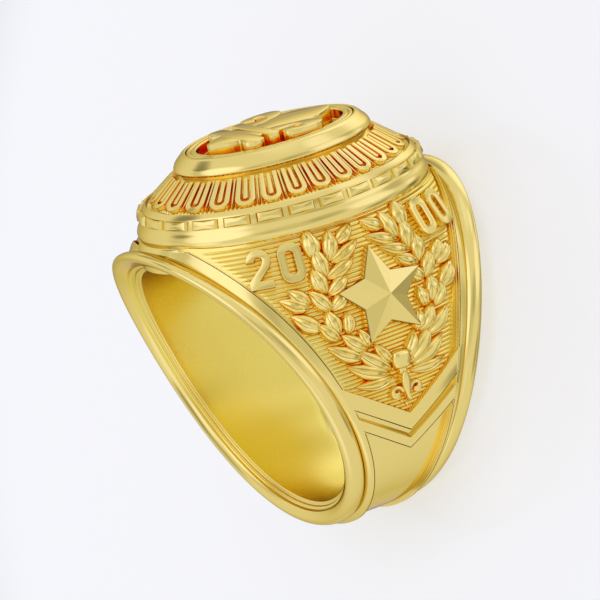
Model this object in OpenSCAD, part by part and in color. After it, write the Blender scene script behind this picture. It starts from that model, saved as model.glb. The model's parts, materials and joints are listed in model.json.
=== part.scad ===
// Class ring cast in yellow gold: a shank with two moulded rims that flare upward, a recessed
// picture panel on each shoulder, and an oval crown that carries a raised emblem plate.
// The ring is drawn about the finger's axis, which is Y, with the crown up along Z. It is laid
// on its side at the end, so the origin is the middle of the finger hole. Millimetres.

/* [Finger hole] */
// Diameter of the finger hole
bore_d = 19; // [17:0.25:22]

/* [Rims] */
// Half width of the ring over a rim's inner crest, level with the finger's axis
rim_half_w = 6.05; // [5.4:0.05:6.8]
// Height over which that half width grows by a factor of e
rim_flare = 16.4; // [15:0.1:20]
// Thickness of a rim outside the finger hole
rim_t = 1.7; // [1.5:0.05:2]
// Width of the rounded bead on a rim
rim_bead = 1.25; // [1:0.05:1.4]

/* [Shank and shoulders] */
// Thickness of the shank outside the finger hole, between its rims
shank_t = 1.95; // [1.8:0.05:2.3]
// Depth of the plain band sunk between the rails at the back of the shank
band_sink = 0.45; // [0.2:0.05:0.7]
// Distance in from the rim's crest to the edge of the panel and of the band
edge_in = 1.5; // [1.3:0.05:1.8]
// Radius of a shoulder's side, seen from the front
shoulder_r = 26.7; // [22:0.1:60]
// Length of the fall over which a shoulder flattens from the crown's oval
shoulder_flat = 15.8; // [12:0.1:30]

/* [Panel] */
// Depth of the panel's ground below the shoulder
panel_sink = 0.5; // [0.3:0.05:0.7]
// Height of the panel's lower corners above the finger's axis
panel_low_z = 0.9; // [0:0.1:2]
// Height of the panel's point
panel_tip_z = -2.3; // [-3:0.1:-1.5]
// Height of the leaves above the panel's ground
leaf_h = 0.62; // [0.3:0.02:0.9]
// Height of the numerals above the panel's ground
numeral_h = 0.55; // [0.3:0.05:0.9]
// Height of a numeral from foot to top
numeral_size = 2.75; // [2:0.05:3]
// Distance from the panel's middle to each pair of numerals: before it, then after it
numeral_y = [-7.25, -5.3, 5.4, 7.3];
// Distance from the crown's foot down to the numerals' middle
numeral_drop = 1.62; // [1.5:0.02:2]
// Height of the wreath from its lowest leaf to its highest
wreath_size = 11.2; // [9:0.1:11.6]

/* [Star] */
// Radius of the star's tips
star_r = 3.45; // [2.5:0.05:3.8]
// Radius of the star's inner corners
star_in_r = 1.8; // [1.2:0.05:2.2]
// Height of the star's middle above the shoulder
star_h = 0.95; // [0.5:0.05:1.3]
// Height of the star's middle over the finger's axis
star_z = 6; // [5.5:0.05:6.5]

/* [Chevrons] */
// Drop from the panel's point to the upper edge of the cut chevron
chevron_drop = 1.25; // [0.9:0.05:1.6]
// Height of the cut chevron
chevron_w = 0.65; // [0.4:0.05:0.9]
// Depth of the cut chevron
chevron_sink = 0.25; // [0.1:0.05:0.4]
// Drop from the panel's point to the chevron where the plain band starts
band_drop = 2.75; // [2.5:0.05:3.2]

/* [Crown] */
// Height of the crown's foot above the finger's axis
crown_z = 11.25; // [11.2:0.05:13]
// Height of the crown from its foot to the rim of its lip
crown_h = 5.1; // [4.5:0.05:6]
// Length of the crown's oval, along the finger
crown_l = 21.16; // [19:0.1:23]
// Length of that oval less its width
crown_less = 3.6; // [2:0.1:5]
// Distance from the crown's side in to the seat of the plate
crown_in = 4.3; // [3.8:0.05:5]
// Number of bricks round the crown
brick_n = 26; // [18:1:32]
// Radius of the moulding under the crown at the ring's two ends
collar_r = 0.96; // [0.8:0.02:1.2]
// How far a brick stands out
brick_out = 0.2; // [0.1:0.02:0.3]
// Number of raised tongues on the frieze
tongue_n = 28; // [20:1:36]
// Height of the frieze's ornaments above its ground
frieze_out = 0.45; // [0.3:0.02:0.6]

/* [Emblem plate] */
// Thickness of the plate under its rail
plate_t = 1.4; // [1:0.05:2]
// Gap between the plate and its seat in the crown
plate_gap = 0.05; // [0.03:0.01:0.1]
// Width of the plate's rail
rail_w = 0.62; // [0.4:0.02:0.8]
// Depth of the plate's ground below its rail
plate_sink = 0.8; // [0.4:0.05:1]
// Height of the emblem's top above the rail
emblem_h = 0.6; // [0.2:0.05:0.9]
// Length of the emblem, along the plate
emblem_l = 9.4; // [7:0.1:10]

/* [Hidden] */
bore_r = bore_d / 2;
shank_r = bore_r + shank_t;
over = 1;
// How deep raised work is rooted, as a share of the panel's depth
root = 1.3;

// The rim's section. Columns: outward from the hole as a share of rim_t, and across from the
// crest as a share of rim_bead, positive away from the middle of the ring.
RIM = [[-0.2, -0.74], [0.1, -0.4], [0.33, 0], [0.69, 0.31], [0.86, 0.21], [0.99, -0.1],
    [0.98, -0.46], [0.82, -0.69]];

// The frieze's foot and top. Columns: as for the crown's profile below.
FRIEZE = [[0.44, 0.398], [0.745, 0.86]];

// The crown's profile. Columns: height as a share of crown_h above the foot, and distance in
// from the crown's side as a share of crown_in.
CROWN = [[-0.1, 0.3], [0, 0.01], [0.07, -0.009], [0.198, 0.07], [0.24, 0.2], [0.38, 0.31],
    [0.43, 0.36], FRIEZE[0], FRIEZE[1], [0.79, 0.765], [0.87, 0.79], [0.985, 0.94], [1, 0.975]];

// Half width over the rim's crest at a height
function half_w(z) = rim_half_w * exp(z / rim_flare);

// Shoulder's side at a height: a circle below the axis, and an arc that leans in above it
function side_x(z) = z < 0 ? sqrt(max(shank_r * shank_r - z * z, 0.01))
    : shank_r - shoulder_r + sqrt(shoulder_r * shoulder_r - z * z);

// Half length of the oval that the shoulder follows at a height
function oval_y(z) = crown_l / 2 * exp((crown_z + 0.5 - z) / shoulder_flat);

// The shoulder's surface, sunk by some depth
function face_x(z, y, d) = side_x(z) * sqrt(max(1 - pow(y / oval_y(z), 2), 0.004)) - d;

// Edge of the panel and of the band at a height
function edge_y(z) = half_w(z) - edge_in - 0.03 * z;

// Unit normal of the shoulder's surface at a height and a place across it
function face_n(z, y) = let (e = 0.05,
        dz = (face_x(z + e, y, 0) - face_x(z - e, y, 0)) / (2 * e),
        dy = (face_x(z, y + e, 0) - face_x(z, y - e, 0)) / (2 * e),
        n = [1, -dy, -dz]) n / norm(n);

// Point over the shoulder's surface, moved out along its normal
function face_p(z, y, d) = [face_x(z, y, 0), y, z] + d * face_n(z, y);

// A rim point at an angle from the top, where s is 1 on the +Y side and -1 on the other
function rim_p(t, row, s) = let (r = bore_r + row[0] * rim_t, z = r * cos(t))
    [r * sin(t), s * (half_w(z) + row[1] * rim_bead), z];

// Six times the volume inside some faces, below zero where they are wound as wanted
function swept(points, faces) = let (v = [for (f = faces) for (k = [1:len(f) - 2])
    points[f[0]] * cross(points[f[k]], points[f[k + 1]])]) v * [for (q = v) 1];

// A closed solid whose faces may be wound either way, as long as they all agree
module solid(points, faces) {
    polyhedron(points, swept(points, faces) < 0 ? faces
        : [for (f = faces) [for (k = [len(f) - 1:-1:0]) f[k]]], convexity = 8);
}

// A skin through rings of points, each ring closed, with flat ends
module skin(rings, closed = false) {
    n = len(rings);
    m = len(rings[0]);
    last = closed ? n - 1 : n - 2;
    walls = [for (i = [0:last], j = [0:m - 1])
        let (a = i * m + j, b = i * m + (j + 1) % m, c = ((i + 1) % n) * m + (j + 1) % m,
            d = ((i + 1) % n) * m + j)
        each [[a, b, c], [a, c, d]]];
    ends = closed ? [] : [[for (j = [m - 1:-1:0]) j], [for (j = [0:m - 1]) (n - 1) * m + j]];
    solid([for (r = rings) each r], concat(walls, ends));
}

// The band that runs all the way round the finger, with a rim at each edge. Under the
// shoulders its middle lies deeper, inside them.
module band_form() {
    steps = 40;
    k = len(RIM);
    skin([for (i = [0:steps - 1]) let (t = -i * 360 / steps, z = shank_r * cos(t),
            c = shank_r - shank_t * (z > -0.7 * shank_r ? 0.3 : 0.08),
            w = half_w(c * cos(t))) concat(
        [for (j = [0:k - 1]) rim_p(t, RIM[j], 1)],
        [for (y = [w - 0.8 * edge_in, 0.8 * edge_in - w]) [c * sin(t), y, c * cos(t)]],
        [for (j = [k - 1:-1:0]) rim_p(t, RIM[j], -1)])], true);
}

// One level of the shoulders: both panels' faces, and flanks that fall to the rims' grooves
function shoulder_ring(z) = let (n = 5,
        groove_r = bore_r + 0.7 * rim_t,
        x = sqrt(max(groove_r * groove_r - z * z, 0.01)),
        lip = crown_l / 2
            + 0.62 * collar_r * sqrt(max(1 - pow((z - crown_z) / collar_r + 0.99, 2), 0)),
        low = half_w(z) - 0.6 * rim_bead,
        y = z > crown_z - 0.99 * collar_r ? min(lip, low) : low,
        side = [for (i = [-n:n]) let (w = edge_y(z) * i / n) [face_x(z, w, 0), w, z]])
    concat([[x, -y, z]], side, [[x, y, z], [-x, y, z]],
        [for (i = [2 * n:-1:0]) [-side[i][0], side[i][1], z]], [[-x, -y, z]]);

module shoulders() {
    skin([for (share = [-0.74, -0.6, -0.44, -0.28, -0.1, 0.1, 0.3, 0.5, 0.68, 0.82, 0.92, 0.97,
        0.995]) shoulder_ring(share * crown_z)]);
}

// Lengths along the crown's oval, and the angle each is reached at
function oval_p(t, inset) = [(crown_l / 2 - crown_less / 2 - inset) * cos(t),
    (crown_l / 2 - inset) * sin(t)];
FRIEZE_IN = (FRIEZE[0][1] + FRIEZE[1][1]) / 2 * crown_in;
ARC = [for (i = 0, s = 0; i <= 120;
    s = s + norm(oval_p(3 * i + 3, FRIEZE_IN) - oval_p(3 * i, FRIEZE_IN)), i = i + 1) [s, 3 * i]];
arc_all = ARC[120][0];
function arc_t(share) = lookup((share - floor(share)) * arc_all, ARC);

// A point on the crown at a share of the way round, at a height and distance in, moved out
function crown_p(share, z, inset, out = 0) = let (t = arc_t(share), p = oval_p(t, inset),
        a = crown_l / 2 - crown_less / 2 - inset, b = crown_l / 2 - inset,
        n = [b * cos(t), a * sin(t)] / norm([b * cos(t), a * sin(t)]))
    [p[0] + out * n[0], p[1] + out * n[1], z];

// Places round the crown: a wide flat for each tongue of the frieze and a narrow one between
FLATS = [for (i = [0:tongue_n - 1]) each [(i + 0.17) / tongue_n, (i + 0.83) / tongue_n]];
// Places round its rim, with how far each stands out: a long brick, a gap, a tab and a gap
BRICKS = [for (i = [0:brick_n - 1]) each [[(i + 0.06) / brick_n, 1], [(i + 0.86) / brick_n, 1],
    [(i + 0.89) / brick_n, 0], [(i + 0.92) / brick_n, 0.7], [(i + 1) / brick_n, 0.7],
    [(i + 1.03) / brick_n, 0]]];

function oval(z, inset) = [for (f = FLATS) crown_p(f, z, inset)];

module crown_form() {
    skin([for (row = CROWN) oval(crown_z + row[0] * crown_h, row[1] * crown_in)]);
}

// Long bricks round the crown's rim with a narrow tab between each two
module bricks() {
    // Columns: height as a share of crown_h, distance in as a share of crown_in, and how far out
    rows = [[0.225, 0.3, 0], [0.235, 0.085, 1], [0.37, 0.12, 1], [0.44, 0.34, 0]];
    skin([for (row = rows) [for (q = BRICKS) crown_p(q[0], crown_z + row[0] * crown_h,
        row[1] * crown_in, brick_out * row[2] * q[1] - (q[1] == 0 ? 0.04 : 0))]]);
}

// The seat for the emblem plate
module plate_seat() {
    top = crown_z + crown_h;
    skin([oval(top - plate_t, crown_in), oval(top + over, crown_in)]);
}

// Everything outside the shoulder's surface sunk by some depth
module outside(d) {
    low = band_drop - panel_tip_z + 1.6;
    skin([for (i = [0:9]) let (z = -low + i / 9 * (crown_z + 0.4 + low),
            row = [for (j = [-3:3]) let (y = edge_y(z) * 1.2 * j / 3) [face_x(z, y, d), y, z]])
        concat(row, [[2 * shank_r, row[6][1], z], [2 * shank_r, row[0][1], z]])]);
}

// Outline of the panel in Y and Z: straight sides along the flanks, and a point below
module panel_outline() {
    zs = [for (i = [0:6]) panel_low_z + (crown_z + 0.2 - panel_low_z) * i / 6];
    polygon(concat([[0, panel_tip_z]], [for (z = zs) [edge_y(z) - 0.12, z]],
        [for (i = [6:-1:0]) [-edge_y(zs[i]) + 0.12, zs[i]]]));
}

// A chevron that is parallel to the panel's lower edges, some way under its point
module chevron_outline(drop, w) {
    z = panel_tip_z - drop;
    rise = (panel_low_z - panel_tip_z) / edge_y(panel_low_z);
    top_z = z + 0.75 * (panel_low_z - panel_tip_z);
    y = 0.98 * edge_y(top_z);
    y2 = 0.98 * edge_y(top_z - w);
    polygon([[0, z], [y, z + rise * y], [y2, z + rise * y2 - w], [0, z - w],
        [-y2, z + rise * y2 - w], [-y, z + rise * y]]);
}

// Stands an outline drawn in Y and Z up along X
module along_x(x0, x1) {
    translate([x0, 0, 0]) rotate([90, 0, 90]) linear_extrude(height = x1 - x0) children();
}

module panel_pocket() {
    intersection() {
        along_x(2, 2 * shank_r - 1) panel_outline();
        outside(panel_sink);
    }
}

module chevron_cut() {
    intersection() {
        along_x(bore_r, 2 * shank_r - 1) chevron_outline(chevron_drop, chevron_w);
        outside(chevron_sink);
    }
}

// The sunk band round the back of the shank, from one chevron to the other
module band_cut() {
    steps = 20;
    from = 95;
    wide = 2 * shank_r;
    z = panel_tip_z - band_drop;
    rise = (panel_low_z - panel_tip_z) / edge_y(panel_low_z);
    r = shank_r - 1.2 * band_sink;
    difference() {
        skin([for (i = [0:steps]) let (t = from + 2 * (180 - from) * i / steps,
                w = half_w(r * cos(t)) - edge_in)
            [[r * sin(t), -w, r * cos(t)], [r * sin(t), w, r * cos(t)],
            [2 * r * sin(t), w, 2 * r * cos(t)], [2 * r * sin(t), -w, 2 * r * cos(t)]]]);
        along_x(-3 * shank_r, 3 * shank_r) polygon([[0, z], [wide, z + wide * rise],
            [-wide, z + wide * rise]]);
    }
}

// The wreath's leaves, on one side. Columns: the tip across and up, the root across and up,
// and the width, as shares of wreath_size, up from the foot of the wreath.
LEAVES = [
    [0.321, 1.000, 0.339, 0.855, 0.080], [0.313, 0.895, 0.304, 0.740, 0.076],
    [0.192, 0.971, 0.250, 0.824, 0.071], [0.045, 0.971, 0.170, 0.900, 0.058],
    [0.049, 0.877, 0.228, 0.806, 0.058], [0.112, 0.792, 0.295, 0.725, 0.058],
    [0.188, 0.712, 0.321, 0.632, 0.063], [0.371, 0.788, 0.344, 0.650, 0.076],
    [0.433, 0.667, 0.344, 0.547, 0.071], [0.228, 0.618, 0.335, 0.542, 0.063],
    [0.549, 0.703, 0.460, 0.614, 0.071], [0.612, 0.663, 0.482, 0.587, 0.063],
    [0.576, 0.556, 0.446, 0.453, 0.076], [0.375, 0.533, 0.344, 0.400, 0.076],
    [0.263, 0.498, 0.286, 0.382, 0.063], [0.446, 0.471, 0.357, 0.364, 0.063],
    [0.424, 0.324, 0.250, 0.217, 0.067], [0.321, 0.368, 0.205, 0.257, 0.071],
    [0.214, 0.373, 0.170, 0.266, 0.058], [0.254, 0.248, 0.085, 0.101, 0.071],
    [0.138, 0.257, 0.058, 0.132, 0.058], [0.330, 0.177, 0.107, 0.074, 0.067],
    [0.304, 0.047, 0.080, 0.038, 0.054]];

// One leaf, on one side of the wreath, with a ridge along its middle
module leaf(row, s) {
    foot = crown_z - wreath_size;
    tip = [s * row[0], row[1]] * wreath_size;
    root = [s * row[2], row[3]] * wreath_size;
    along = tip - root;
    side = [along[1], -along[0]] / norm(along) * row[4] * wreath_size * 0.6;
    // Columns: place from root to tip, place across, and height as a share of leaf_h
    corners = [[-0.04, 0, -0.3], [0.25, 0.9, -0.3], [0.65, 1, -0.3], [1.06, 0, -0.3],
        [0.65, -1, -0.3], [0.25, -0.9, -0.3], [0.15, 0, 0.8], [0.75, 0, 1]];
    solid([for (q = corners) let (c = root + q[0] * along + q[1] * side)
        face_p(foot + c[1], c[0], q[2] * leaf_h - panel_sink)],
        [[0, 1, 2, 3, 4, 5], [0, 6, 1], [1, 6, 2], [6, 7, 2], [2, 7, 3], [3, 7, 4], [4, 7, 6],
            [4, 6, 5], [5, 6, 0]]);
}

// Puts a shape drawn in X and Y, and rising along Z, on the shoulder
module on_face(z, y) {
    n = face_n(z, y);
    p = face_p(z, y, 0);
    across = [-n[1], n[0], 0] / norm([n[0], n[1]]);
    up = cross(n, across);
    multmatrix([[across[0], up[0], n[0], p[0]], [across[1], up[1], n[1], p[1]],
        [across[2], up[2], n[2], p[2]], [0, 0, 0, 1]]) children();
}

// The numerals, drawn on a grid of a unit height, as outlines with round outer corners
module zero() {
    difference() {
        polygon([[0.1, 0], [0.46, 0], [0.56, 0.12], [0.56, 0.88], [0.46, 1], [0.1, 1], [0, 0.88],
            [0, 0.12]]);
        polygon([[0.2, 0.2], [0.36, 0.2], [0.36, 0.8], [0.2, 0.8]]);
    }
}

module two() {
    polygon([[0, 0], [0.56, 0], [0.56, 0.18], [0.24, 0.18], [0.54, 0.54], [0.56, 0.62],
        [0.56, 0.88], [0.46, 1], [0.1, 1], [0, 0.88], [0, 0.68], [0.19, 0.68], [0.19, 0.82],
        [0.37, 0.82], [0.37, 0.64], [0, 0.2]]);
}

module numeral(y, z) {
    on_face(z, y) translate([-0.28 * numeral_size, -0.5 * numeral_size, -root * panel_sink])
        linear_extrude(height = numeral_h + (root - 1) * panel_sink) scale(numeral_size) children();
}

// A five-point star whose faces rise to its middle
module star(r, r_in, h, base) {
    turn = 180 / 5;
    rim = [for (i = [0:9]) let (q = i % 2 == 0 ? r : r_in, t = 90 + turn * i)
        [q * cos(t), q * sin(t)]];
    points = concat([for (p = rim) [p[0], p[1], -base]], [for (p = rim) [p[0], p[1], 0]],
        [[0, 0, h], [0, 0, -base]]);
    solid(points, [for (i = [0:9]) let (j = (i + 1) % 10)
        each [[i, 10 + i, 10 + j], [i, 10 + j, j], [10 + i, 20, 10 + j], [i, j, 21]]]);
}

// The knot at the wreath's foot, its pointed tail, and a scroll at each side
module wreath_foot() {
    z = crown_z - wreath_size;
    on_face(z + 1.45, 0) translate([0, 0, -panel_sink - 0.15]) linear_extrude(height = leaf_h + 0.2)
        polygon([[-0.5, -0.5], [0.5, -0.5], [0.62, 0], [0.5, 0.5], [-0.5, 0.5], [-0.62, 0]]);
    on_face(z - 0.1, 0) translate([0, 0, -panel_sink - 0.15]) linear_extrude(height = leaf_h)
        polygon([[-0.35, 1.2], [-0.22, 0.4], [-0.32, -0.3], [0, -1.3], [0.32, -0.3], [0.22, 0.4],
            [0.35, 1.2]]);
    for (s = [-1, 1]) on_face(z - 0.6, s * 0.8) translate([0, 0, -panel_sink - 0.15])
        linear_extrude(height = leaf_h * 0.8) difference() {
            circle(r = 0.55, $fn = 10);
            circle(r = 0.25, $fn = 6);
        }
}

// The raised work of one panel
module panel_relief() {
    numeral_z = crown_z - numeral_drop;
    for (row = LEAVES, s = [-1, 1]) leaf(row, s);
    on_face(star_z, 0) star(star_r, star_in_r, star_h, 1.6 * panel_sink);
    wreath_foot();
    numeral(numeral_y[0], numeral_z) two();
    for (i = [1:3]) numeral(numeral_y[i], numeral_z) zero();
}

// A block on the crown with its foot sunk in. Each row of the outline is a share round, then a
// share of the way up the frieze.
module frieze_block(mid, outline, out) {
    z0 = crown_z + FRIEZE[0][0] * crown_h;
    z1 = crown_z + FRIEZE[1][0] * crown_h;
    i0 = FRIEZE[0][1] * crown_in;
    i1 = FRIEZE[1][1] * crown_in;
    slope = norm([z1 - z0, i1 - i0]);
    nz = (i1 - i0) / slope;
    nr = (z1 - z0) / slope;
    skin([for (d = [-0.6 * frieze_out, out]) [for (q = outline)
        crown_p(mid + q[0] / arc_all, z0 + (z1 - z0) * q[1] + nz * d, i0 + (i1 - i0) * q[1],
            nr * d)]]);
}

module frieze() {
    flat = arc_all / tongue_n;
    w = 0.29 * flat;
    for (i = [0:tongue_n - 1]) {
        frieze_block((i + 0.5) / tongue_n, [[-w, 0.78], [-w, 0.25], [0, 0], [w, 0.25], [w, 0.78]],
            frieze_out);
        frieze_block(i / tongue_n, [[0, 0], [0.11 * flat, 0.78], [-0.11 * flat, 0.78]],
            frieze_out * 0.8);
    }
}

// The whole casting's outside, before the finger hole is bored
module casting() {
    difference() {
        union() {
            band_form();
            shoulders();
            crown_form();
        }
        for (turn = [0, 180]) rotate([0, 0, turn]) {
            panel_pocket();
            chevron_cut();
        }
        band_cut();
        plate_seat();
    }
    for (turn = [0, 180]) rotate([0, 0, turn]) panel_relief();
    frieze();
    bricks();
}

// How far the rims reach down when the ring leans by an angle, at its back and at its crown
function reach(end, lean) = max([for (row = RIM) let (p = rim_p(end, row, 1))
    p[1] * cos(lean) - p[2] * sin(lean)]);
function settle(lean, n) = n == 0 ? lean
    : settle(lean + (reach(0, lean) - reach(180, lean)) / (2 * bore_r + 2 * rim_t) * 180 / PI,
        n - 1);
first_lean = 22;
tries = 8;
lean = settle(first_lean, tries);

// Lays the ring on its side, on the back of one rim and on the same rim at the crown
module laid() {
    rotate([lean - 90, 0, 0]) children();
}

module ring_body() {
    color([0.83, 0.66, 0.22]) laid() difference() {
        resize([0, 0, 0]) casting();
        rotate([90, 0, 0]) cylinder(r = bore_r, h = 3 * crown_l, center = true, $fn = 96);
    }
}

// The emblem: a lily of three petals with a band, drawn along Y
module emblem() {
    k = emblem_l;
    for (s = [-1, 1]) scale([s, 1]) polygon([[0, 0.5], [0.07, 0.42], [0.13, 0.28], [0.12, 0.16],
        [0.06, 0.02], [0.1, 0.04], [0.14, 0.16], [0.22, 0.24], [0.31, 0.22], [0.36, 0.13],
        [0.34, 0.02], [0.27, -0.05], [0.22, -0.03], [0.24, 0.03], [0.28, 0.04], [0.28, 0.1],
        [0.24, 0.14], [0.19, 0.1], [0.14, -0.04], [0.2, -0.06], [0.2, -0.14], [0.09, -0.14],
        [0.1, -0.22], [0.17, -0.3], [0.14, -0.34], [0.06, -0.3], [0.05, -0.4], [0, -0.48]] * k);
}

module emblem_plate() {
    top = crown_z + crown_h;
    side = crown_in + plate_gap;
    color([0.88, 0.7, 0.24]) laid() resize([0, 0, 0]) union() {
        difference() {
            skin([oval(top - plate_t + plate_gap, side), oval(top - 0.12, side),
                oval(top + 0.02, side + 0.14)]);
            skin([oval(top - plate_sink, side + rail_w + 0.1), oval(top + over, side + rail_w)]);
        }
        translate([0, 0, top - plate_sink - 0.1]) linear_extrude(height = plate_sink + emblem_h
            + 0.1) emblem();
    }
}

ring_body();
emblem_plate();
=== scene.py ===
import json
import math

import bmesh
import bpy
import numpy as np
from mathutils import Matrix, Vector

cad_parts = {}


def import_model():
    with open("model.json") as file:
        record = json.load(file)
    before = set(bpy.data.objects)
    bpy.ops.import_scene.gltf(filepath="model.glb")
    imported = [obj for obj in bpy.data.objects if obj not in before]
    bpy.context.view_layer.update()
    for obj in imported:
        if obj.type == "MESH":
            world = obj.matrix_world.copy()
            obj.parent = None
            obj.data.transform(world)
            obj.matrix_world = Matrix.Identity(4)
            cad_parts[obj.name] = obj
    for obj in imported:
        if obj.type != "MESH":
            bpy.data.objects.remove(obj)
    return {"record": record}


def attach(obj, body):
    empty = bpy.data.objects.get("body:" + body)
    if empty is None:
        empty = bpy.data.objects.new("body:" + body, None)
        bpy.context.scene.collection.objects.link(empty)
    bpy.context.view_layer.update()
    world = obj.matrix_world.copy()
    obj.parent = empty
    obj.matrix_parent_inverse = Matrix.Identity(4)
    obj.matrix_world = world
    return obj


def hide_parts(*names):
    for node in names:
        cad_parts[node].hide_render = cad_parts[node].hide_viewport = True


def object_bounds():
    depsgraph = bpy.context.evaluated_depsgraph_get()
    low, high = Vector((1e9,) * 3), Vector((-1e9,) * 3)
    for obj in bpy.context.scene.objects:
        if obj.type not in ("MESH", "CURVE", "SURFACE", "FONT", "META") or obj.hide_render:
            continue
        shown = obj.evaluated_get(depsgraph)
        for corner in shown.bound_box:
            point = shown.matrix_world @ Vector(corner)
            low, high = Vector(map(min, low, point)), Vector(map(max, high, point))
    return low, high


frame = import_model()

cad_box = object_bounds()

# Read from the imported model, in millimetres: the finger hole, the ring's lean and the floor
MOUNT = frame["record"]["mounts"][0]
BORE_R = MOUNT["dims"]["r_mm"]
LEAN = math.atan2(-MOUNT["axis"][1], MOUNT["axis"][2])
FLOOR_Z = cad_box[0][2] * 1000

# The rims: half width at the axis, and the height over which it grows by a factor of e
RIM_HALF_W = 6.05
RIM_FLARE = 16.4
# The shank's outside, the arc that each shoulder's side follows, and how its oval spreads
SHANK_R = BORE_R + 1.95
SHOULDER_R = 26.7
SHOULDER_FLAT = 15.8
SHOULDER_BASE = BORE_R + 0.7
# The groove beside each rim, and the edge of the panels, in from the rim's crest
GROOVE_R = BORE_R + 1.45
GROOVE_IN = 0.92
EDGE_IN = 1.5
EDGE_LEAN = 0.03
EDGE_WALL = 0.26
# The panel: its depth, the height where its ribs end, its lower corners and its lowest tip
PANEL_SINK = 0.5
RIB_TOP = 11.0
PANEL_LOW_Z = 0.9
PANEL_TIP_Z = -2.3
# The chevron's groove and the sunk band under it, down from the panel's tip
CHEVRON_DROP = 1.25
CHEVRON_W = 0.65
CHEVRON_SINK = 0.25
BAND_DROP = 2.75
BAND_SINK = 0.45
# The crown: its foot's height, its own height, its length, how much narrower it is than long,
# and how far in its top lies
CROWN_Z = 11.25
CROWN_H = 5.1
CROWN_L = 21.16
CROWN_END = CROWN_L / 2
CROWN_LESS = 3.6
CROWN_IN = 4.3
BRICK_N = 26
TONGUE_N = 28
REEDS_PER_TONGUE = 6
# The relief: the wreath's height, a leaf's, the star's place and size, and the numerals' height
WREATH = 11.2
LEAF_H = 0.62
STAR_Z = 6.0
STAR_CORNERS = 10
STAR_R = 3.45
STAR_NOTCH_R = 1.8
STAR_H = 0.95
NUMERAL = 2.75
# How far what stands on a panel reaches into its ground, and the shell lies under the ground
ROOT = 0.2
# Half the step over which the shoulder's slope is measured
PROBE = 0.05


def half_w(z):
    """Half width of the ring over a rim's inner crest at a height."""
    return RIM_HALF_W * np.exp(np.asarray(z, float) / RIM_FLARE)


def side_x(z):
    """The shoulder's side at a height: a circle below the axis, an arc that leans in above."""
    z = np.asarray(z, float)
    low = np.sqrt(np.maximum(SHANK_R**2 - z**2, 0.0))
    high = SHANK_R - SHOULDER_R + np.sqrt(SHOULDER_R**2 - np.maximum(z, 0) ** 2)
    return np.where(z < 0, low, high)


def oval_y(z):
    """Half length of the oval that the shoulder follows at a height."""
    return CROWN_END * np.exp((CROWN_Z + 0.5 - np.asarray(z, float)) / SHOULDER_FLAT)


def edge_y(z):
    """Edge of the panel and of the sunk band at a height."""
    return half_w(z) - EDGE_IN - EDGE_LEAN * np.asarray(z, float)


def face(z, y, depth=0.0):
    """Points on a shoulder and on round the back of the shank, sunk by a depth."""
    z, y, depth = np.broadcast_arrays(
        np.asarray(z, float), np.asarray(y, float), np.asarray(depth, float))
    # Keeps the slope finite at the oval's very end
    least = 0.004
    fall = np.sqrt(np.maximum(1 - (y / oval_y(z)) ** 2, least))
    x_high = side_x(z) * fall - depth
    shrink = (SHANK_R * fall - depth) / SHANK_R
    x_low = side_x(np.minimum(z, 0)) * shrink
    low = z < 0
    return np.stack([np.where(low, x_low, x_high), y, np.where(low, z * shrink, z)], -1)


def face_frame(z, y):
    """A place on the shoulder and its directions across, up and out."""
    p = face(z, y)
    dy = face(z, y + PROBE) - face(z, y - PROBE)
    dz = face(z + PROBE, y) - face(z - PROBE, y)
    out = np.cross(dy, dz)
    out /= np.linalg.norm(out)
    across = np.array([-out[1], out[0], 0.0])
    across /= np.linalg.norm(across)
    return p, across, np.cross(out, across), out


def on_face(y, z, depth):
    """Points over the shoulder's surface, moved out along its normals."""
    p = face(z, y)
    dy = face(z, y + PROBE) - face(z, y - PROBE)
    dz = face(z + PROBE, y) - face(z - PROBE, y)
    n = np.cross(dy, dz)
    n /= np.linalg.norm(n, axis=-1, keepdims=True)
    return p + n * np.asarray(depth, float)[..., None]


def rounded(rows, steps=3):
    """A 2D line with its inner corners rounded. A row's third number is its corner's radius."""
    # The most of each side that a corner's rounding may take
    most = 0.48
    line = [rows[0][:2]]
    for a, b, c in zip(rows, rows[1:], rows[2:]):
        corner = np.array(b[:2])
        to_a = np.array(a[:2]) - corner
        to_c = np.array(c[:2]) - corner
        cut = min(b[2], most * np.linalg.norm(to_a), most * np.linalg.norm(to_c))
        if cut <= 0:
            line.append(tuple(corner))
            continue
        p0 = corner + to_a / np.linalg.norm(to_a) * cut
        p2 = corner + to_c / np.linalg.norm(to_c) * cut
        for k in range(steps + 1):
            t = k / steps
            line.append(tuple((1 - t) ** 2 * p0 + 2 * t * (1 - t) * corner + t * t * p2))
    line.append(rows[-1][:2])
    return np.array(line)


# Mesh making. A part is a pair: its points and its faces.
def skin(rings, closed=False):
    """A solid through rings of points, capped at both ends or closed on itself.

    The rings are an array of shape rings, points, 3.
    """
    rings = np.asarray(rings, float)
    n, m = rings.shape[:2]
    faces = []
    for i in range(n if closed else n - 1):
        a = i * m
        b = (i + 1) % n * m
        faces += [(a + j, a + (j + 1) % m, b + (j + 1) % m, b + j) for j in range(m)]
    if not closed:
        faces.append(tuple(range(m - 1, -1, -1)))
        faces.append(tuple((n - 1) * m + j for j in range(m)))
    return rings.reshape(-1, 3), faces


def slab(top, bottom):
    """A closed solid between two grids of points of one shape."""
    n, m = top.shape[:2]
    k = n * m
    faces = []
    for i in range(n - 1):
        for j in range(m - 1):
            a = i * m + j
            faces.append((a, a + 1, a + m + 1, a + m))
            faces.append((k + a, k + a + m, k + a + m + 1, k + a + 1))
    loop = list(range(m)) + [i * m + m - 1 for i in range(1, n)]
    loop += [(n - 1) * m + j for j in range(m - 2, -1, -1)] + [i * m for i in range(n - 2, 0, -1)]
    for a, b in zip(loop, loop[1:] + loop[:1]):
        faces.append((b, a, k + a, k + b))
    return np.concatenate([top.reshape(-1, 3), bottom.reshape(-1, 3)]), faces


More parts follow.
